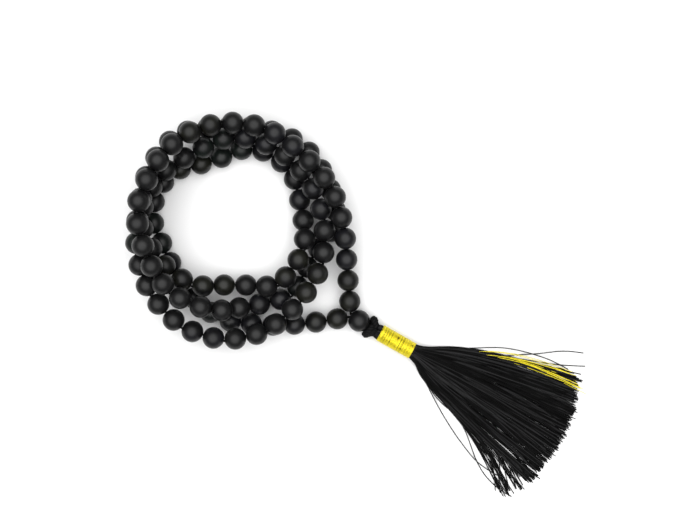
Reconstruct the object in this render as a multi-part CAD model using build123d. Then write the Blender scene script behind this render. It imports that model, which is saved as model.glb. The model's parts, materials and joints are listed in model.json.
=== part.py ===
from build123d import *
import os
from math import cos, sin, radians

import numpy as np

# Mala of 108 counting beads and a guru bead with a tassel, lying loosely wound in four turns on a table.
# Millimetres, +Z up. The table is z = 0, and the origin is under the middle of the whole piece.

# Counting beads
bead_count = 108
bead_diameter = 8.0
bore_play = 0.25         # all round the cord
bore_chamfer = 0.15
bead_gap = 0.06          # between neighbours on the cord
turn_gap = 0.10          # least space between beads of different turns

# Cord
cord_diameter = 0.8
cord_bend_radius = 2.4   # at the gaps between beads, where the turn leaves room for it
cord_mouth_radius = 0.9  # where both ends turn into the guru bead
cord_side_gap = 0.1      # between the two ends, side by side in the guru bead

# Guru bead
guru_diameter = 8.2
guru_bore_play = 0.2     # all round the two cord ends
guru_gap = 0.15          # to the first and last counting bead
guru_countersink = 0.5
guru_mouth_depth = 0.3   # how far inside the guru bead's mouth the two ends turn

# Knot behind the guru bead, tied in both cord ends
knot_gap = 0.25          # to the guru bead, which turns in front of it
knot_width = 7.8         # over its two lobes
knot_length = 3.6
knot_height = 5.2
knot_middle_height = 3.7
knot_lobe_radius = 1.3
knot_back_radius = 1.7
knot_round = 1.0
knot_pocket_depth = 1.5  # how far the cord ends go in
knot_pocket_play = 0.1

# Tassel head: folded threads with a gold binding round them
binding_diameter = 5.9
binding_wall = 0.35
binding_length = 13.8
binding_fit = 0.05
head_gap = 0.6           # between the knot and the folded threads
neck_front = 0.6         # how far the threads stand out of the binding at each end
neck_back = 0.5
neck_round = 0.8

# Tassel skirt, a fan of threads lying on the table
skirt_gap = 0.3          # to the folded threads
skirt_step = 0.15        # from the binding's outline in to the root's, all round
skirt_tip_height = 2.4
skirt_left_edge = [(7.5, 7.8), (15.5, 11.1), (55, 22.4)]     # along and across the tassel, from the skirt's root
skirt_right_edge = [(3.5, -6.2), (24, -13.5), (39, -18.5), (52, -29.0)]
skirt_tip = (61.5, -2)

tassel_heading = radians(-29.5)

# The way the string of beads lies: the middle of each pair of beads, in bead pitches from the middle of
# the coil, as x, y and height. Four turns, each one clockwise from the guru bead's corner.
first_turn = [
    (4.0, -4.3, 0.5), (2.1, -4.5, 0.5), (0.0, -4.3, 0.5), (-1.7, -3.5, 0.5), (-3.0, -2.0, 0.5),
    (-3.8, 0.0, 0.5), (-3.5, 1.6, 0.5), (-2.1, 2.8, 0.5), (-0.3, 3.5, 0.5), (1.4, 3.3, 0.5),
    (2.8, 1.9, 0.5), (3.2, 0.0, 0.5), (2.7, -2.0, 0.9),
]
second_turn = [
    (1.0, -2.5, 0.7), (-1.0, -2.6, 0.6), (-2.8, -2.0, 1.2), (-4.1, -0.4, 1.4), (-4.0, 1.5, 1.4),
    (-2.9, 3.1, 1.4), (-1.2, 4.0, 1.5), (0.7, 4.1, 1.4), (2.6, 3.1, 1.0), (3.9, 1.3, 0.9),
    (4.1, -0.6, 1.0), (3.5, -2.5, 1.2), (2.3, -4.1, 1.2),
]
third_turn = [
    (0.5, -5.2, 0.6), (-1.5, -5.0, 0.5), (-3.3, -4.1, 0.5), (-4.2, -2.2, 0.7), (-4.2, -0.2, 2.1),
    (-4.0, 1.7, 2.3), (-3.1, 3.3, 1.6), (-1.6, 4.4, 0.6), (0.2, 4.6, 0.5), (2.1, 4.4, 0.5),
    (3.6, 3.0, 0.5), (4.3, 1.1, 0.5), (3.8, -0.6, 0.5), (2.9, -2.1, 0.5),
]
fourth_turn = [
    (1.5, -3.3, 0.7), (-0.2, -3.7, 1.3), (-2.0, -3.4, 1.8), (-3.3, -2.2, 2.6), (-4.1, -0.4, 3.1),
    (-3.9, 1.6, 3.1), (-3.0, 3.3, 2.9), (-1.6, 4.4, 2.6), (0.3, 4.7, 2.1), (2.1, 4.0, 1.9),
    (3.5, 2.7, 1.7), (4.5, 1.0, 1.4), (5.0, -0.9, 0.6), (5.0, -2.9, 0.5),
]
guru_place = (5.57, -4.27)

# Settling the string under its own weight
settle_steps = 1500
settle_pull = 0.15       # towards the chosen way, as a share of the distance, each step
settle_fall = 0.02       # millimetres down, each step
settle_firming = 500     # last steps, with no pull and no fall
most_bend = 42           # degrees that the cord turns between one pair of beads and the next
lay_scale = 1.01         # room for the bends in the cord, as a share of the bead pitch

bead_radius = bead_diameter / 2
bead_bore = cord_diameter + 2 * bore_play
guru_radius = guru_diameter / 2
bead_pitch = bead_diameter + bead_gap
pair_count = bead_count // 2
along = np.array([cos(tassel_heading), sin(tassel_heading), 0.0])
across = np.array([-sin(tassel_heading), cos(tassel_heading), 0.0])
lay_unit = bead_pitch * lay_scale
guru_centre = np.array([guru_place[0] * lay_unit, guru_place[1] * lay_unit, guru_radius])
cord_offset = (cord_diameter + cord_side_gap) / 2
guru_bore = 2 * (cord_offset + cord_diameter / 2 + guru_bore_play)


def from_guru(forward, sideways=0.0, up=0.0):
    """A point given along the tassel's line from the guru bead's centre."""
    return guru_centre + forward * along + sideways * across + np.array([0, 0, up])


def spread_over_ends(spots, moves, shares, shape):
    """Shares each bead's move between the two ends of the straight stretch that it is on."""
    pushed = np.zeros(shape)
    np.add.at(pushed, spots, shares[:, None] * moves)
    np.add.at(pushed, spots + 1, (1 - shares)[:, None] * moves)
    return pushed


def reach_from_guru(corner, way):
    """How far from the cord's turn in the guru bead's mouth the nearest bead sits, just clear of the guru bead."""
    offset = corner - guru_centre
    clear = bead_radius + guru_radius + guru_gap
    ahead = offset @ way
    return (ahead ** 2 - offset @ offset + clear ** 2) ** 0.5 - ahead


def settle(middles):
    """Lays the string near the wanted places of its pairs. It is a chain of straight stretches with two beads on
    each, so the cord bends only between pairs. Returns the chain's corners and the beads' places."""
    mouth = guru_mouth_depth - guru_radius
    mouths = [from_guru(mouth, -cord_offset), from_guru(mouth, cord_offset)]
    corners = np.vstack([mouths[:1], (middles[1:] + middles[:-1]) / 2, mouths[1:]])
    reach = np.full(pair_count + 1, bead_pitch / 2)
    pair_of = np.arange(bead_count) // 2
    second = np.arange(bead_count) % 2 == 1
    i, j = np.triu_indices(bead_count, 1)
    apart = j > i + 1
    i, j = i[apart], j[apart]
    least = bead_diameter + turn_gap
    least_span = 4 * bead_pitch * cos(radians(most_bend / 2))

    for step in range(settle_steps + settle_firming):
        runs = corners[1:] - corners[:-1]
        lengths = np.linalg.norm(runs, axis=1)
        ways = runs / lengths[:, None]
        half_turn = np.arccos(np.clip((ways[1:] * ways[:-1]).sum(axis=1), 0.2, 1)) / 2
        reach[1:-1] = bead_pitch / 2 / np.cos(half_turn)
        reach[0] = reach_from_guru(corners[0], ways[0])
        reach[-1] = reach_from_guru(corners[-1], -ways[-1])
        near = np.where(second, lengths[pair_of] - reach[pair_of + 1], reach[pair_of])
        beads = corners[pair_of] + near[:, None] * ways[pair_of]

        moves = np.zeros_like(beads)
        if step < settle_steps:
            off = middles - (beads[::2] + beads[1::2]) / 2
            moves[:, :2] = settle_pull * np.repeat(off, 2, axis=0)[:, :2]
            moves[:, 2] = -settle_fall
        gap = beads[j] - beads[i]
        distance = np.linalg.norm(gap, axis=1)
        touching = distance < least
        push = ((least - distance[touching]) / distance[touching] / 4)[:, None] * gap[touching]
        np.add.at(moves, i[touching], -push)
        np.add.at(moves, j[touching], push)
        from_centre = beads - guru_centre
        distance = np.linalg.norm(from_centre, axis=1)
        short = np.clip(bead_radius + guru_radius + guru_gap - distance, 0, None)
        short[[0, -1]] = 0
        moves += (short / distance)[:, None] * from_centre
        moves[:, 2] += np.clip(bead_radius - beads[:, 2] - moves[:, 2], 0, None)
        corners += spread_over_ends(pair_of, moves, 1 - near / lengths[pair_of], corners.shape)

        span = corners[2:] - corners[:-2]
        length = np.linalg.norm(span, axis=1)
        opening = (np.clip(least_span - length, 0, None) / length / 4)[:, None] * span
        corners[2:] += opening
        corners[:-2] -= opening
        right = reach[1:] + reach[:-1] + bead_pitch
        for first in (0, 1, 0, 1):
            corners[[0, -1]] = mouths
            starts = corners[first:pair_count:2]
            ends = corners[first + 1:pair_count + 1:2]
            run = ends - starts
            length = np.linalg.norm(run, axis=1)
            fix = ((length - right[first::2]) / length / 2)[:, None] * run
            starts += fix
            ends -= fix
        corners[[0, -1]] = mouths
    return corners, beads


middles = np.array(first_turn + second_turn + third_turn + fourth_turn) * lay_unit
corners, beads = settle(middles)


def drilled_ball(diameter, bore, countersink):
    ball = Sphere(diameter / 2) - Cylinder(bore / 2, diameter)
    mouths = [edge for edge in ball.edges() if edge.is_closed]
    return chamfer(mouths, countersink)


def make_bead_pairs():
    """Each pair is two separate beads on one straight stretch of the cord."""
    bead = drilled_ball(bead_diameter, bead_bore, bore_chamfer)
    pairs = {}
    for pair in range(pair_count):
        first = 2 * pair
        run = Vector(*(beads[first + 1] - beads[first]))
        two = [Plane(origin=tuple(place), z_dir=run).location * bead for place in beads[first:first + 2]]
        pairs[f"beads_{first + 1:03}_{first + 2:03}"] = Compound(two)
    return pairs


def make_cord():
    """One length: from the knot, back through the guru bead, round all the beads and in again."""
    start = from_guru(knot_front + knot_pocket_depth, -cord_offset)
    end = from_guru(knot_front + knot_pocket_depth, cord_offset)
    route = [Vector(*point) for point in (start, *corners, end)]
    radii = [cord_mouth_radius] + [cord_bend_radius] * (pair_count - 1) + [cord_mouth_radius]
    path = FilletPolyline(*route, radius=radii)
    cord = sweep(Plane(origin=route[0], z_dir=route[1] - route[0]) * Circle(cord_diameter / 2), path=path)
    print(f"cord: {path.length:.1f} mm long, radii {cord_mouth_radius} at its ends and {cord_bend_radius} between,",
          f"volume {cord.volume / (path.length * Circle(cord_diameter / 2).area):.4f} of its section times length")
    return cord


def make_knot():
    """Two lobes hug the guru bead, and a rounded back leads to the tassel."""
    lobe = knot_width / 2 - knot_lobe_radius
    clear = guru_radius + knot_gap
    lobe_forward = ((clear + knot_lobe_radius) ** 2 - lobe ** 2) ** 0.5
    back = knot_front + knot_length - knot_back_radius
    outline = Pos(back, 0) * Circle(knot_back_radius)
    outline += [Pos(lobe_forward, side * lobe) * Circle(knot_lobe_radius) for side in (-1, 1)]
    outline = make_hull(outline.edges())
    knot = Pos(0, 0, knot_middle_height - knot_height / 2) * extrude(outline, knot_height)
    rims = knot.edges().filter_by(Plane.XY)
    knot = fillet(rims, knot_round)
    knot -= Pos(0, 0, guru_radius) * Sphere(clear)
    pocket = guru_bore / 2 - guru_bore_play + knot_pocket_play
    knot -= Pos(knot_front + knot_pocket_depth + knot_pocket_play, 0, guru_radius) * Cylinder(
        pocket, knot_length, rotation=(0, 90, 0), align=(Align.CENTER, Align.CENTER, Align.MAX))
    return knot


def make_head():
    """The folded threads and the gold binding wound round them, both along the tassel's line."""
    neck_radius = binding_diameter / 2 - binding_wall - binding_fit
    neck_length = neck_front + binding_length + neck_back
    on_line = Pos(head_start, 0, binding_diameter / 2) * Rotation(0, 90, 0)
    threads = Cylinder(neck_radius, neck_length, align=(Align.CENTER, Align.CENTER, Align.MIN))
    threads = fillet([edge for edge in threads.edges() if edge.is_closed], neck_round)
    sleeve = Cylinder(binding_diameter / 2, binding_length, align=(Align.CENTER, Align.CENTER, Align.MIN))
    sleeve -= Cylinder(neck_radius + binding_fit, binding_length, align=(Align.CENTER, Align.CENTER, Align.MIN))
    return on_line * threads, on_line * Pos(0, 0, neck_front) * sleeve


def make_skirt():
    """A fan with a round root, so that it lifts off the table about its own root."""
    half = root_diameter / 2
    left = Spline([(0, half), *skirt_left_edge])
    right = Spline([(0, -half), *skirt_right_edge])
    tip = ThreePointArc(skirt_left_edge[-1], skirt_tip, skirt_right_edge[-1])
    fan = extrude(make_face([left, tip, right, Line((0, -half), (0, half))]), root_diameter)
    reach = skirt_tip[0] + 1
    wedge = make_face(Polyline((0, 0), (reach, 0), (reach, skirt_tip_height), (0, root_diameter), close=True))
    wedge = extrude(Plane.XZ * wedge, 2 * reach, both=True)
    root = Pos(0, 0, half) * Cylinder(half, root_diameter, rotation=(90, 0, 0))
    return Pos(skirt_root, 0, 0) * ((fan & wedge) + root)


knot_front = guru_radius + knot_gap
head_pivot = knot_front + knot_length
root_diameter = binding_diameter - 2 * skirt_step
head_start = head_pivot + head_gap
skirt_root = head_start + neck_front + binding_length + neck_back + skirt_gap + root_diameter / 2
tassel_place = Plane(origin=(guru_centre[0], guru_centre[1], 0), x_dir=tuple(along), z_dir=(0, 0, 1)).location

nodes = make_bead_pairs()
nodes["stringing_cord"] = make_cord()
guru_ball = Rotation(0, 90, 0) * drilled_ball(guru_diameter, guru_bore, guru_countersink)
nodes["guru_bead"] = tassel_place * Pos(0, 0, guru_radius) * guru_ball
nodes["guru_knot"] = tassel_place * make_knot()
nodes["tassel_neck"], nodes["gold_binding"] = [tassel_place * piece for piece in make_head()]
nodes["tassel_skirt"] = tassel_place * make_skirt()

# The origin goes under the middle of everything
bounds = Compound(list(nodes.values())).bounding_box(optimal=True)
shift = Vector(-bounds.center().X, -bounds.center().Y, 0)
nodes = {name: Pos(shift) * solid for name, solid in nodes.items()}

os.makedirs("parts", exist_ok=True)
for name, solid in nodes.items():
    export_step(solid, f"parts/{name}.step")
print(f"{len(nodes)} nodes, {bounds.size.X:.1f} x {bounds.size.Y:.1f} x {bounds.size.Z:.1f} mm,",
      f"lowest point {bounds.min.Z:.3f}")
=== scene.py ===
import json
import math
import random

import bpy
import bmesh
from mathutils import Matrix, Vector, noise


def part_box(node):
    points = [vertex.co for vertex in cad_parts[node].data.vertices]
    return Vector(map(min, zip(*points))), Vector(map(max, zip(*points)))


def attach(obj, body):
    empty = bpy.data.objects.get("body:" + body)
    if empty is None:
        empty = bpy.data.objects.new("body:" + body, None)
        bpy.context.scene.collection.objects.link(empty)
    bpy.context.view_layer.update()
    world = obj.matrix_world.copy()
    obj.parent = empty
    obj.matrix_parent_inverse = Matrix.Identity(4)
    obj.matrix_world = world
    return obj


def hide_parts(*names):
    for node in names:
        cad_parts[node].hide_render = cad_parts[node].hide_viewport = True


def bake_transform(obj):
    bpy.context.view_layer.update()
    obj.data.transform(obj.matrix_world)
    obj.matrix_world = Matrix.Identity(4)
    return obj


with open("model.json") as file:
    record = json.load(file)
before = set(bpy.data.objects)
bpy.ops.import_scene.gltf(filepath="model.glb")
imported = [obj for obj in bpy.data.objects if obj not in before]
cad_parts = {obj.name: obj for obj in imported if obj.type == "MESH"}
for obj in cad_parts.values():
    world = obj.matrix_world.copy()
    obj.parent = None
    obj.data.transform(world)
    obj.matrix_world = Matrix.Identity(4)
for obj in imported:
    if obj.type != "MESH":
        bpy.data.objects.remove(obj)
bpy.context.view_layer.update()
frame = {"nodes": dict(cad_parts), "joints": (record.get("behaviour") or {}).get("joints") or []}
mm = 0.001

# Sizes in the dictionaries are in millimetres, and colours are linear.
# Everything on the tassel is placed along it, across it and up, from the point on the table
# under the guru bead's middle.
jointNamed = {joint["name"]: joint for joint in frame["joints"]}
guruLow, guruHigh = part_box("guru_bead")
guruMiddle = (guruLow + guruHigh) / 2
along = Vector(jointNamed["guru_bead_spin"]["axis"]).normalized()
across = Vector((-along.y, along.x, 0))
tablePoint = Vector((guruMiddle.x, guruMiddle.y, 0))


def onTassel(forward, sideways, up):
    return tablePoint + (forward * along + sideways * across + up * Vector((0, 0, 1))) * mm


class Link:
    # an output socket that can be used in sums with numbers and other sockets
    def __init__(self, tree, socket):
        self.tree = tree
        self.socket = socket

    def __add__(self, other):
        return node(self.tree, "Math", {"operation": "ADD"}, {0: self, 1: other})

    def __radd__(self, other):
        return node(self.tree, "Math", {"operation": "ADD"}, {0: other, 1: self})

    def __sub__(self, other):
        return node(self.tree, "Math", {"operation": "SUBTRACT"}, {0: self, 1: other})

    def __rsub__(self, other):
        return node(self.tree, "Math", {"operation": "SUBTRACT"}, {0: other, 1: self})

    def __mul__(self, other):
        return node(self.tree, "Math", {"operation": "MULTIPLY"}, {0: self, 1: other})

    def __rmul__(self, other):
        return node(self.tree, "Math", {"operation": "MULTIPLY"}, {0: other, 1: self})


def node(tree, kind, settings, values, output=0):
    made = tree.nodes.new("ShaderNode" + kind)
    for name, value in settings.items():
        setattr(made, name, value)
    for name, value in values.items():
        if isinstance(value, Link):
            tree.links.new(value.socket, made.inputs[name])
        else:
            made.inputs[name].default_value = value
    return Link(tree, made.outputs[output])


def between(value, low, high):
    # 0 below low, 1 above high, smooth between them
    settings = {"interpolation_type": "SMOOTHSTEP"}
    return node(value.tree, "MapRange", settings, {"Value": value, "From Min": low, "From Max": high})


def mixed(share, first, second):
    # a colour part of the way from first to second
    return node(share.tree, "Mix", {"data_type": "RGBA"}, {0: share, 6: first, 7: second}, 2)


def grain(place, size, detail=2.0):
    # soft noise between 0 and 1, with blotches of about this size
    return node(place.tree, "TexNoise", {}, {"Vector": place, "Scale": 1 / (size * mm), "Detail": detail})


def cells(place, size):
    # the distance from the middle of the nearest of many cells, as a share of their size
    return node(place.tree, "TexVoronoi", {}, {"Vector": place, "Scale": 1 / (size * mm)})


def relief(height, strength, depth):
    return node(height.tree, "Bump", {}, {"Strength": strength, "Distance": depth * mm, "Height": height})


def newMaterial(name):
    material = bpy.data.materials.new(name)
    material.use_nodes = True
    tree = material.node_tree
    place = node(tree, "TexCoord", {}, {}, 3)
    return material, tree.nodes["Principled BSDF"], place


def feed(shader, **inputs):
    # underscores in a name stand for spaces
    for name, value in inputs.items():
        socket = shader.inputs[name.replace("_", " ")]
        if isinstance(value, Link):
            value.tree.links.new(value.socket, socket)
        else:
            socket.default_value = value


stone = {
    "black": (0.0035, 0.0035, 0.0038, 1),
    "tints": {
        "plain": (0.0065, 0.0065, 0.0067, 1),
        "olive": (0.0072, 0.0074, 0.0053, 1),
        "slate": (0.0062, 0.0062, 0.0078, 1),
        "green": (0.0052, 0.0074, 0.0063, 1),
    },
    "shares": (5, 2, 3, 1),       # how often each tint is drawn
    "speck": (0.02, 0.02, 0.02, 1),
    "pitShade": (0.003, 0.003, 0.003, 1),
    "cloudSize": 5,
    "cloudEdge": (0.35, 0.65),
    "mottleSize": 0.35,
    "speckEdge": (0.58, 0.75),
    "speckStrength": 0.25,
    "pitSpacing": 0.9,
    "pitEdge": (0.06, 0.14),
    "pitShadeStrength": 0.6,
    "roughness": 0.35,
    "mottleRoughness": 0.08,
    "cloudRoughness": 0.04,
    "mottleHeight": 0.35,
    "pitHeight": 0.8,
    "specular": 0.24,
    "bump": 0.35,
    "bumpDepth": 0.03,
    "seed": 5,
}


def makeStone(name, tint):
    material, shader, place = newMaterial("stone_" + name)
    cloud = between(grain(place, stone["cloudSize"]), *stone["cloudEdge"])
    mottle = grain(place, stone["mottleSize"], detail=4.0)
    pits = 1 - between(cells(place, stone["pitSpacing"]), *stone["pitEdge"])
    colour = mixed(cloud, stone["black"], tint)
    colour = mixed(between(mottle, *stone["speckEdge"]) * stone["speckStrength"], colour, stone["speck"])
    # painted shade: the colour is darkened inside the pits, which the bump dents
    colour = mixed(pits * stone["pitShadeStrength"], colour, stone["pitShade"])
    height = mottle * stone["mottleHeight"] - pits * stone["pitHeight"]
    surface = relief(height, stone["bump"], stone["bumpDepth"])
    rough = stone["roughness"] + mottle * stone["mottleRoughness"] - cloud * stone["cloudRoughness"]
    feed(shader, Base_Color=colour, Roughness=rough, Specular_IOR_Level=stone["specular"], Normal=surface)
    return material


def dressBeads():
    stones = [makeStone(name, tint) for name, tint in stone["tints"].items()]
    draw = random.Random(stone["seed"])
    for name, solid in frame["nodes"].items():
        if name.startswith("beads_") or name == "guru_bead":
            solid.material_slots[0].material = draw.choices(stones, stone["shares"])[0]
    print("beads: finished in", len(stones), "tones of stone")


thread = {
    "cord": {"dark": (0.002, 0.002, 0.002, 1), "light": (0.007, 0.007, 0.0075, 1), "roughness": 0.5},
    "tassel": {"dark": (0.0005, 0.0005, 0.0005, 1), "light": (0.019, 0.019, 0.0195, 1), "roughness": 0.55},
    "specular": 0.07,
    "fuzzSize": 0.12,
    "fuzzTone": 0.5,
    "fuzzRoughness": 0.15,
    "bump": 0.5,
    "bumpDepth": 0.03,
}


def toneOf(place):
    # how light each single thread is
    return node(place.tree, "Attribute", {"attribute_name": "tone"}, {}, 2)


def makeThread(name, look):
    material, shader, place = newMaterial(name)
    fuzz = grain(place, thread["fuzzSize"], detail=3.0)
    tone = toneOf(place) + fuzz * thread["fuzzTone"] - thread["fuzzTone"] / 2
    colour = mixed(between(tone, 0.0, 1.0), look["dark"], look["light"])
    rough = look["roughness"] + fuzz * thread["fuzzRoughness"]
    surface = relief(fuzz, thread["bump"], thread["bumpDepth"])
    feed(shader, Base_Color=colour, Roughness=rough, Specular_IOR_Level=thread["specular"], Normal=surface)
    return material


gold = {
    "deep": (0.12, 0.08, 0.004, 1),
    "bright": (0.78, 0.66, 0.02, 1),
    "glint": (0.95, 0.88, 0.14, 1),
    "metallic": 0.6,
    "roughness": 0.3,
    "foilSize": 0.5,
    "foilShare": 0.3,     # of its tone that comes from the foil and not from the single thread
    "toneEdge": (0.1, 0.6),
    "foilRoughness": 0.2,
    "glintEdge": (0.62, 0.72),
    "glintStrength": 0.7,
    "facetSize": 0.35,
    "facetHeight": 0.4,
    "foilHeight": 0.6,
    "bump": 0.5,
    "bumpDepth": 0.05,
}


def makeGold(name):
    material, shader, place = newMaterial(name)
    foil = grain(place, gold["foilSize"], detail=3.0)
    facets = cells(place, gold["facetSize"])
    tone = toneOf(place) * (1 - gold["foilShare"]) + foil * gold["foilShare"]
    colour = mixed(between(tone, *gold["toneEdge"]), gold["deep"], gold["bright"])
    colour = mixed(between(foil, *gold["glintEdge"]) * gold["glintStrength"], colour, gold["glint"])
    rough = gold["roughness"] + foil * gold["foilRoughness"]
    height = foil * gold["foilHeight"] + facets * gold["facetHeight"]
    surface = relief(height, gold["bump"], gold["bumpDepth"])
    feed(shader, Base_Color=colour, Metallic=gold["metallic"], Roughness=rough, Normal=surface)
    return material


def lineMesh(name, paths, steps, closed, radius=0, sides=6):
    # the smooth curves that these paths of points control: round threads, or bare lines at radius 0
    data = bpy.data.curves.new(name, "CURVE")
    data.dimensions = "3D"
    data.bevel_depth = radius * mm
    data.bevel_resolution = sides // 2 - 2
    data.resolution_u = steps
    data.use_fill_caps = not closed
    for path in paths:
        spline = data.splines.new("NURBS")
        spline.points.add(len(path) - 1)
        for point, where in zip(spline.points, path):
            point.co = (*where, 1)
        spline.order_u = 4
        spline.use_endpoint_u = not closed
        spline.use_cyclic_u = closed
    line = bpy.data.objects.new(name + "_line", data)
    bpy.context.scene.collection.objects.link(line)
    ready = line.evaluated_get(bpy.context.evaluated_depsgraph_get())
    mesh = bpy.data.meshes.new_from_object(ready)
    bpy.data.objects.remove(line)
    mesh.name = name
    return mesh


def placed(name, mesh, material):
    # a smooth piece in the scene made of this mesh
    mesh.materials.clear()
    mesh.materials.append(material)
    mesh.shade_smooth()
    piece = bpy.data.objects.new(name, mesh)
    bpy.context.scene.collection.objects.link(piece)
    return piece


def threads(name, paths, radius, material, sides=6, steps=3, tones=None, closed=False):
    # one piece of round threads, one for each path of points
    mesh = lineMesh(name, paths, steps, closed, radius, sides)
    each = len(mesh.vertices) // len(paths)
    tone = mesh.attributes.new("tone", "FLOAT", "POINT")
    shades = tones or [0.5] * len(paths)
    for number in range(len(mesh.vertices)):
        tone.data[number].value = shades[min(number // each, len(paths) - 1)]
    return placed(name, mesh, material)


def smoothLoop(points, steps):
    # points read off the smooth closed curve that these points control
    mesh = lineMesh("route", [points], steps, closed=True)
    read = [vertex.co.copy() for vertex in mesh.vertices]
    bpy.data.meshes.remove(mesh)
    return read


def twisted(route, plies, offset, turns):
    # paths of the plies that are laid up round a closed route
    count = len(route)
    paths = [[] for ply in range(plies)]
    side = Vector((0, 0, 1))
    for number, place in enumerate(route):
        way = (route[(number + 1) % count] - route[number - 1]).normalized()
        side = (side - side.dot(way) * way).normalized()
        other = way.cross(side)
        for ply in range(plies):
            angle = 2 * math.pi * (turns * number / count + ply / plies)
            paths[ply].append(place + (math.cos(angle) * side + math.sin(angle) * other) * offset * mm)
    return paths


knot = {
    "middle": 6.0,        # along the tassel
    "height": 3.6,
    "reach": 0.38,        # how far its lobes stand out along the tassel
    "width": 1.2,
    "depth": 1.15,
    "hug": 0.1,           # how much it curves round the guru bead
    "plies": 3,
    "plyRadius": 0.72,
    "plyOffset": 0.7,
    "turns": 9,
    "points": 36,         # round its loop
}


def makeKnot(material):
    loop = []
    for step in range(knot["points"]):
        turn = 2 * math.pi * step / knot["points"]
        sideways = knot["width"] * (math.sin(turn) + 2 * math.sin(2 * turn))
        forward = knot["middle"] - knot["reach"] * (math.cos(turn) - 2 * math.cos(2 * turn))
        forward -= knot["hug"] * sideways ** 2
        up = knot["height"] + knot["depth"] * math.sin(3 * turn)
        loop.append(onTassel(forward, sideways, up))
    route = smoothLoop(loop, steps=4)
    paths = twisted(route, knot["plies"], knot["plyOffset"], knot["turns"])
    piece = threads("guru_knot_cord", paths, knot["plyRadius"], material, sides=8, steps=2, closed=True)
    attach(piece, "string")
    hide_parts("guru_knot")
    print("knot:", len(piece.data.polygons), "faces")


head = {
    "front": 7.3,         # where the folded threads come out of the knot
    "foldLength": 0.6,    # in which they spread out
    "blend": (6.4, 9.6),  # two places along the tassel, read but not used
    "middle": 16,
    "back": 23.8,
    "axisHeight": 3.35,
    "coreFront": 9.3,
    "coreRadius": 2.62,
    "coreRounding": 1.0,
    "coreSides": 40,
    "threadRadius": 0.18,
    "threads": 52,
    "jitter": (0.3, 0.1), # round the core, as a share of their spacing, and off it
}
winding = {
    "front": 9.15,
    "back": 22.95,
    "radius": 3.12,
    "flare": 0.04,        # wider towards the knot
    "threadRadius": 0.15,
    "turns": 52,
    "pointsPerTurn": 20,
    "drift": 0.35,        # how far its turns stray along the tassel
    "waver": 0.05,
    "swell": 0.07,
    "tone": 0.72,
    "toneSpread": 0.5,
    "shadeFleckDepth": 1.5,
    "shadeFleckRows": (1.5, -1.1),     # across the tassel, where the winding is creased and painted shade darkens it in flecks
    "shadeFleckWidth": 0.75,
    "seed": 11,
}


def makeFolded(material):
    middle = head["axisHeight"]
    start = head["front"]
    ends = ((start, 0.1), (start, 0.85), (start + head["foldLength"], 1), (winding["front"] + 0.5, 1),
            (head["middle"], 1), (head["back"], 1))     # along the tassel, and the share of its radius
    draw = random.Random(winding["seed"])
    paths = []
    around, off = head["jitter"]
    for number in range(head["threads"]):
        angle = 2 * math.pi * (number + draw.uniform(-around, around)) / head["threads"]
        radius = head["coreRadius"] + draw.uniform(0, off)
        sideways = radius * math.cos(angle)
        up = middle + radius * math.sin(angle)
        paths.append([onTassel(forward, sideways * share, middle + (up - middle) * share)
                      for forward, share in ends])
    tones = [draw.random() for path in paths]
    piece = threads("folded_threads", paths, head["threadRadius"], material, tones=tones)
    first, last = head["blend"]
    onTassel(first, 0, middle)
    onTassel(last, 0, middle)
    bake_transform(piece)


def makeCore(material):
    core = bmesh.new()
    radius = head["coreRadius"] * mm
    bmesh.ops.create_cone(core, cap_ends=True, segments=head["coreSides"], radius1=radius,
                          radius2=radius, depth=(head["back"] - head["coreFront"]) * mm)
    ends = [edge for edge in core.edges if len({round(v.co.z, 6) for v in edge.verts}) == 1]
    bmesh.ops.bevel(core, geom=ends, offset=head["coreRounding"] * mm, affect="EDGES", segments=4,
                    profile=0.5, material=-1)
    turn = along.to_track_quat("Z", "Y").to_matrix()
    bmesh.ops.rotate(core, cent=(0, 0, 0), matrix=turn, verts=core.verts)
    place = onTassel((head["coreFront"] + head["back"]) / 2, 0, head["axisHeight"])
    bmesh.ops.translate(core, vec=place, verts=core.verts)
    mesh = bpy.data.meshes.new("tassel_core")
    core.to_mesh(mesh)
    core.free()
    piece = placed("tassel_core", mesh, material)
    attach(piece, "tassel_head")
    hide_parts("tassel_neck")


def makeWinding(material):
    middle = head["axisHeight"]
    front = winding["front"]
    back = winding["back"]
    wound = []
    steps = winding["turns"] * winding["pointsPerTurn"]
    for step in range(steps + 1):
        turn = step / winding["pointsPerTurn"]
        drift = winding["drift"] * noise.noise(Vector((turn * 0.35, 3.0, 0)))
        forward = front + (back - front) * step / steps
        forward += drift + winding["waver"] * noise.noise(Vector((turn * 2.1, 9.0, 0)))
        forward = min(max(forward, front), back)
        radius = winding["radius"] + winding["flare"] * (1 - step / steps)
        radius += winding["swell"] * noise.noise(Vector((turn * 1.3, 0, 7.0)))
        angle = 2 * math.pi * turn
        wound.append(onTassel(forward, radius * math.cos(angle), middle + radius * math.sin(angle)))
    piece = threads("gold_winding", [wound], winding["threadRadius"], material, steps=2)
    for point, value in zip(piece.data.vertices, piece.data.attributes["tone"].data):
        forward = (point.co - tablePoint).dot(along) / mm
        sideways = (point.co - tablePoint).dot(across) / mm
        # painted shade: dark flecks in two rows across the tassel lower the gold winding's tone
        shadeRow = max(math.exp(-((sideways - place) / winding["shadeFleckWidth"]) ** 2)
                  for place in winding["shadeFleckRows"])
        shadeFleck = max(0, noise.noise(Vector((forward * 2.4, sideways * 0.9, point.co.z / mm * 0.9))))
        value.value = (winding["tone"] + winding["toneSpread"] * noise.noise(point.co * 1900)
                       - winding["shadeFleckDepth"] * shadeRow * shadeFleck)
    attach(piece, "tassel_head")
    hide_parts("gold_binding")
    print("tassel head:", len(piece.data.polygons), "faces in the gold winding")


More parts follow.
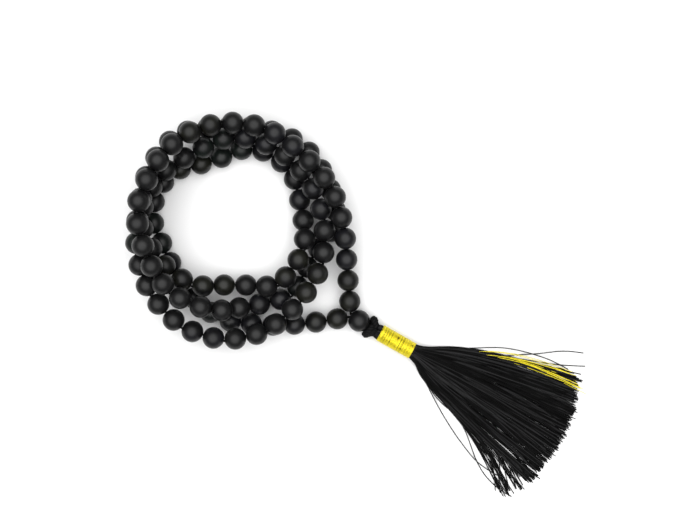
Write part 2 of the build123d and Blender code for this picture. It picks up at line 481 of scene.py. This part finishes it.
skirt = {
    "seed": 21,
    "paleShare": 0.28,    # of the threads that catch the light
    "pale": (0.6, 1),
    "dark": (0, 0.25),
    "rootRadius": 2.4,
    "rootHeight": 3.2,
    "rootAt": 21.5,       # inside the binding
    "mouthAt": 25.3,      # just out of it
    "mouthWider": 1.22,
    "mouthFlatter": 0.95,
    "mouthDrop": 0.1,
    "blend": (22.9, 31),  # two places along the tassel, read but not used; nothing bends there
    "blendHeight": 2.8,
    "lowest": 0.2,        # above the table
}
fan = {
    "threads": 620,
    "threadRadius": 0.17,
    "clumps": 46,
    "clumping": 0.55,
    "crossers": 0.12,     # share of the threads that cross many others
    "crossing": (0.1, 0.35),
    "sway": 0.6,
    "jitter": 0.4,
    "layerJitter": 0.1,
    "tipSpread": (0.7, 0.35),     # along and across
    "shortest": 9,        # how much shorter than the others a thread may be
    "offTable": 0.04,
    # along and across the tassel, at the places where the threads are guided beyond their root
    "left": ((29.5, 5.2), (35, 8.5), (44, 12.3), (55, 15.8), (68.5, 19.2), (82.0, 22.4)),
    "centre": ((31, 0.1), (38, 0.3), (48, 0.5), (60, 0.6), (74, 0.5), (88.3, 0.2)),
    "right": ((29.5, -6.0), (35, -8.6), (44, -11.3), (56, -14.4), (70, -17.7), (86.4, -21.3)),
    "thickness": (4.2, 3.5, 2.9, 2.5, 2.1, 1.7),
    "thinnest": 0.12,     # of this thickness, at both edges
}
lock = {
    "rootSide": (0.55, 0.9),
    "rootHeight": (-0.35, 0.1),
    "start": 25,          # where its threads are as high as at the root
    "length": 60,
    "jitter": 0.25,
    "layer": (1, 0.6),
    "tipSpread": 1.3,
}
lowerLock = {
    "threads": 34,
    "threadRadius": 0.17,
    "wander": 0.2,        # how far its threads stray between its edges
    "lift": (0.55, 0.2),  # how high they lie, at its root and at its tip
    "outer": ((28, -5.6), (35, -8.8), (50, -13.4), (61, -18.2), (69, -23.0), (79, -30.4)),
    "inner": ((29, -4.8), (36, -7.8), (52, -12.2), (64, -14.6), (75, -18.4), (84.5, -24.2)),
}
goldStrands = {
    "threads": 14,
    "threadRadius": 0.1,
    "wander": 0.1,
    "tone": 0.9,
    "lift": (0.1, 1.5),
    "outer": ((29.5, 3.6), (35, 6.0), (44, 11.4), (55, 17.4), (68, 21.2), (80, 23.0)),
    "inner": ((29.5, 2.6), (35, 5.0), (44, 9.0), (55, 14.2), (68, 17.2), (84, 18.6)),
}
loose = {
    "threadRadius": 0.18,
    "rootSide": 0.6,
    "rootHeight": (-0.2, 0.4),
    "layer": (0.7, 0.4),
    "tipHeight": 0.3,
    "paths": (
        ((27, -3.6), (35, -9.0), (43, -14.3), (52, -19.3), (60, -22.8), (67, -25.6), (77, -25.2)),
        ((33, -8.0), (51, -13.3), (57, -17.6), (62, -22.2), (67, -26.1), (73, -28.8),
         (79, -29.8), (83, -29.6)),
        ((27, -3.9), (34, -8.1), (39, -10.9), (45, -12.6), (51, -12.9), (59, -13.6)),
        ((30, 4.8), (42, 11.6), (46, 14.2), (50, 16.6), (54, 18.5), (60, 20.5),
         (66, 21.8), (71, 22.8), (78, 22.8)),
        ((32, 5.6), (47, 12.2), (53, 14.3), (58, 17.9), (64, 21.5), (69, 25.3), (74, 28.8), (80, 31.0)),
        ((40, 9.5), (56, 15.6), (67, 20.0), (74, 22.2), (83, 27.0)),
        ((40, -2), (55, -5.5), (66, -12.5), (74, -21.5), (77, -28.5)),
    ),
}


def rootOfThread(draw):
    # a random place in the round root of the tassel, and how far it is to the left from -1 to 1,
    # counted in threads
    while True:
        left = draw.uniform(-1, 1)
        high = draw.uniform(-1, 1)
        if left * left + high * high < 1:
            break
    toLeft = 2 * (left * math.sqrt(1 - left * left) + math.asin(left)) / math.pi
    return left, high, toLeft


def rootPoints(left, high):
    # the first two points of a thread, inside the binding and just out of it
    radius = skirt["rootRadius"]
    root = skirt["rootHeight"]
    mouth = root - skirt["mouthDrop"]
    return [onTassel(skirt["rootAt"], left * radius, root + high * radius),
            onTassel(skirt["mouthAt"], left * radius * skirt["mouthWider"],
                     mouth + high * radius * skirt["mouthFlatter"])]


def fanPoint(share, station):
    # where a thread goes at one of the stations, from the right edge at -1 to the left edge at 1
    out = fan["left" if share > 0 else "right"][station]
    middle = fan["centre"][station]
    forward = middle[0] + (out[0] - middle[0]) * share ** 2
    return forward, middle[1] + (out[1] - middle[1]) * abs(share)


def fanThread(draw, clumps):
    left, high, share = rootOfThread(draw)
    path = rootPoints(left, high)
    layer = (high / math.sqrt(1 - left * left + 1e-6) + 1) / 2
    few, many = fan["crossing"]
    crossing = draw.gauss(0, many if draw.random() < fan["crossers"] else few)
    wave = draw.uniform(0, 2 * math.pi)
    sway = draw.gauss(0, fan["sway"])
    shorter = draw.random() ** 6 * fan["shortest"]
    stations = len(fan["centre"])
    for station in range(stations):
        part = (station + 1) / stations
        at = max(-1.0, min(1.0, share + crossing * part))
        clump = clumps[int((at + 1) * (len(clumps) - 1) / 2)]
        forward, sideways = fanPoint(at, station)
        sideways += clump * part ** 2 + sway * part * math.sin(wave + 5 * part)
        sideways += draw.gauss(0, fan["jitter"]) * part
        if station == stations - 1:
            forward += draw.gauss(0, fan["tipSpread"][0]) - shorter
            sideways += draw.gauss(0, fan["tipSpread"][1])
        thick = fan["thinnest"] + (1 - fan["thinnest"]) * math.sqrt(1 - at * at)
        up = fan["threadRadius"] + fan["offTable"] + layer * fan["thickness"][station] * thick
        path.append(onTassel(forward, sideways, up + abs(draw.gauss(0, fan["layerJitter"]))))
    return path


def lockThread(draw, edges):
    # one thread of a loose lock, between its outer and its inner edge
    side = draw.random()
    start = draw.uniform(*lock["rootSide"]) * (1 if edges["outer"][0][1] > 0 else -1)
    path = rootPoints(start, draw.uniform(*lock["rootHeight"]))
    atRoot, atTip = edges["lift"]
    for outer, inner in zip(edges["outer"], edges["inner"]):
        side = max(-0.1, min(1.1, side + draw.gauss(0, edges["wander"])))
        part = (outer[0] - lock["start"]) / lock["length"]
        forward = outer[0] + (inner[0] - outer[0]) * side
        sideways = outer[1] + (inner[1] - outer[1]) * side + draw.gauss(0, lock["jitter"]) * part
        lift = atRoot + (atTip - atRoot) * part
        path.append(onTassel(forward, sideways, skirt["lowest"] + abs(draw.gauss(*lock["layer"])) * lift))
    path[-1] += along * draw.gauss(0, lock["tipSpread"]) * mm
    return path


def looseThread(draw, places):
    start = loose["rootSide"] * (1 if places[-1][1] > 0 else -1)
    path = rootPoints(start, draw.uniform(*loose["rootHeight"]))
    for forward, sideways in places:
        path.append(onTassel(forward, sideways, skirt["lowest"] + abs(draw.gauss(*loose["layer"]))))
    path[-1].z = loose["tipHeight"] * mm
    return path


def finishThreads(piece):
    first, last = skirt["blend"]
    up = skirt["blendHeight"]
    onTassel(first, 0, up)
    onTassel(last, 0, up)
    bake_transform(piece)
    print(piece.name + ":", len(piece.data.polygons), "faces")


def tonesFor(draw, paths):
    # how light each thread of a piece is
    return [draw.uniform(*skirt["pale"]) if draw.random() < skirt["paleShare"]
            else draw.uniform(*skirt["dark"]) for path in paths]


def makeSkirt(threadMaterial, goldMaterial):
    draw = random.Random(skirt["seed"])
    clumps = [draw.gauss(0, fan["clumping"]) for clump in range(fan["clumps"])]
    fanned = [fanThread(draw, clumps) for number in range(fan["threads"])]
    locked = [lockThread(draw, lowerLock) for number in range(lowerLock["threads"])]
    golden = [lockThread(draw, goldStrands) for number in range(goldStrands["threads"])]
    strays = [looseThread(draw, places) for places in loose["paths"]]

    tones = tonesFor(draw, fanned)
    piece = threads("skirt_fan", fanned, fan["threadRadius"], threadMaterial, tones=tones)
    finishThreads(piece)
    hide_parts("tassel_skirt")

    tones = tonesFor(draw, locked)
    piece = threads("skirt_lock", locked, lowerLock["threadRadius"], threadMaterial, tones=tones)
    finishThreads(piece)

    tones = [goldStrands["tone"]] * len(golden)
    piece = threads("skirt_gold_threads", golden, goldStrands["threadRadius"], goldMaterial, tones=tones)
    finishThreads(piece)

    for number, path in enumerate(strays, 1):
        piece = threads(f"skirt_loose_{number}", [path], loose["threadRadius"], threadMaterial, steps=8)
        finishThreads(piece)


blackCord = makeThread("black_cord", thread["cord"])
blackThread = makeThread("black_thread", thread["tassel"])
goldThread = makeGold("gold_thread")

dressBeads()
frame["nodes"]["stringing_cord"].material_slots[0].material = blackCord
makeKnot(blackCord)
makeFolded(blackThread)
makeCore(blackThread)
makeWinding(goldThread)
makeSkirt(blackThread, goldThread)


studio = {
    "cameraAside": (-3.4, 22.8),   # from the guru bead's middle
    "cameraHeight": 408,
    "viewWidth": 35.97,            # degrees
    "sensor": 36,
    "tableSize": 40,               # metres
    "tableColour": (0.76, 0.76, 0.76, 1),
    "tableRoughness": 0.8,
    "dome": 3.5,                   # light from above
    "horizon": 0.2,                # light from the sides
    "domeEdge": (0.55, 0.9),       # height at which the one goes over into the other
}


def makeTable():
    table = bmesh.new()
    bmesh.ops.create_grid(table, x_segments=1, y_segments=1, size=studio["tableSize"] / 2)
    mesh = bpy.data.meshes.new("table")
    table.to_mesh(mesh)
    table.free()
    material, shader, place = newMaterial("table_white")
    feed(shader, Base_Color=studio["tableColour"], Roughness=studio["tableRoughness"])
    mesh.materials.append(material)
    piece = bpy.data.objects.new("table", mesh)
    bpy.context.scene.collection.objects.link(piece)


def makeLight():
    world = bpy.data.worlds.new("studio")
    bpy.context.scene.world = world
    world.use_nodes = True
    tree = world.node_tree
    way = node(tree, "TexCoord", {}, {}, 0)
    up = node(tree, "SeparateXYZ", {}, {0: way}, 2)
    dome = between(up, *studio["domeEdge"])
    strength = studio["horizon"] + dome * (studio["dome"] - studio["horizon"])
    tree.links.new(strength.socket, tree.nodes["Background"].inputs["Strength"])
    tree.nodes["Background"].inputs["Color"].default_value = (1, 1, 1, 1)


def makeCamera():
    data = bpy.data.cameras.new("camera")
    data.sensor_width = studio["sensor"]
    data.lens = studio["sensor"] / 2 / math.tan(math.radians(studio["viewWidth"] / 2))
    camera = bpy.data.objects.new("camera", data)
    right, up = studio["cameraAside"]
    camera.location = (guruMiddle.x + right * mm, guruMiddle.y + up * mm, studio["cameraHeight"] * mm)
    bpy.context.scene.collection.objects.link(camera)
    bpy.context.scene.camera = camera


makeTable()
makeLight()
makeCamera()
bpy.context.scene.view_settings.view_transform = "Standard"
